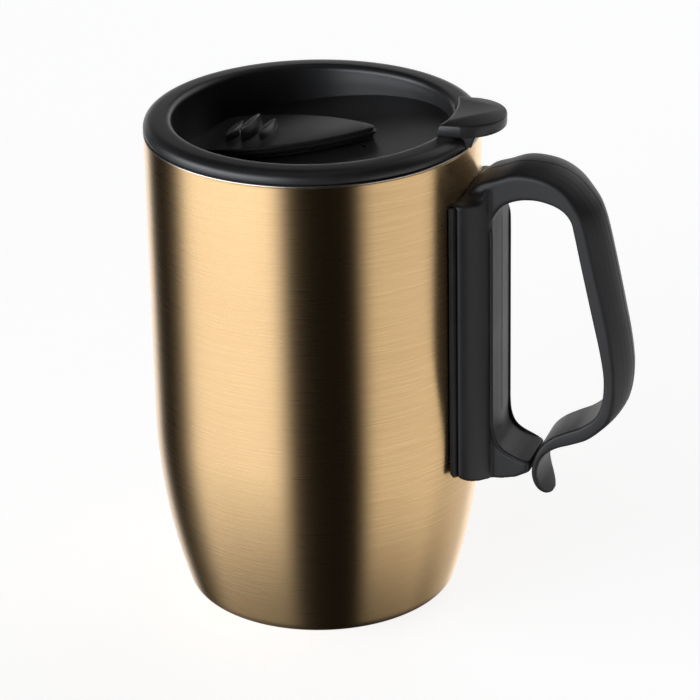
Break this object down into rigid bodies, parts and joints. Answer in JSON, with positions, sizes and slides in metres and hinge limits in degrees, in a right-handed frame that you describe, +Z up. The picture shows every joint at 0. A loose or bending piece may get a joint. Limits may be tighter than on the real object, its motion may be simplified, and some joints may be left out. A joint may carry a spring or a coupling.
{
  "type": "insulated travel mug",
  "caption": "Double-walled steel cup with a push-in lid, a leaf-shaped sliding drink cover and an open strap handle ending in a sprung clip.",
  "frame": {"origin": "centre of the base, on the face it stands on", "axes": "+Z up the cup axis to the lid, +X towards the handle, +Y across the handle's mid-plane"},
  "size_m": [0.126, 0.085, 0.1326],
  "materials": {
    "gold_steel": "gold-tinted coating over steel brushed around the cup",
    "bare_steel": "satin stainless steel, natural colour",
    "hidden_steel": "plain stainless sheet",
    "solder": "dull grey solder bead",
    "getter_metal": "dark sintered metal",
    "base_steel": "satin stainless steel",
    "rail_steel": "plain stainless sheet",
    "seat_plastic": "satin black moulded plastic",
    "handle_plastic": "satin black moulded plastic",
    "screw_steel": "zinc-plated steel",
    "clip_plastic": "satin black moulded plastic",
    "lid_plastic": "satin black moulded plastic",
    "silicone": "matt silicone",
    "slider_plastic": "satin black moulded plastic",
    "seal_silicone": "matt black silicone",
    "retainer_plastic": "black moulded plastic"
  },
  "bodies": {
    "mug": {"outer_shell": "gold_steel", "inner_liner": "bare_steel", "shell_bottom": "hidden_steel", "vacuum_seal": "solder", "getter": "getter_metal", "base_disc": "base_steel", "handle_rail": "rail_steel", "handle_seat": "seat_plastic", "handle_grip": "handle_plastic", "handle_screw": "screw_steel"},
    "clip": {"handle_clip": "clip_plastic"},
    "lid": {"lid_cap": "lid_plastic", "lid_gasket": "silicone"},
    "slider": {"slider_plate": "slider_plastic", "slider_seal": "seal_silicone", "slider_retainer": "retainer_plastic"}
  },
  "joints": [
    {"name": "lid_lift", "type": "slide", "parent": "mug", "child": "lid", "axis": [0, 0, 1], "range_m": [0, 0.04]},
    {"name": "slider_slide", "type": "slide", "parent": "lid", "child": "slider", "axis": [0.9907, 0.0606, 0.1219], "range_m": [0, 0.013]},
    {"name": "clip_flex", "type": "hinge", "parent": "mug", "child": "clip", "pos_m": [0.0792, 0, 0.0578], "axis": [0, -1, 0], "range_deg": [0, 8], "stiffness_Nm_per_rad": 1.2}
  ]
}
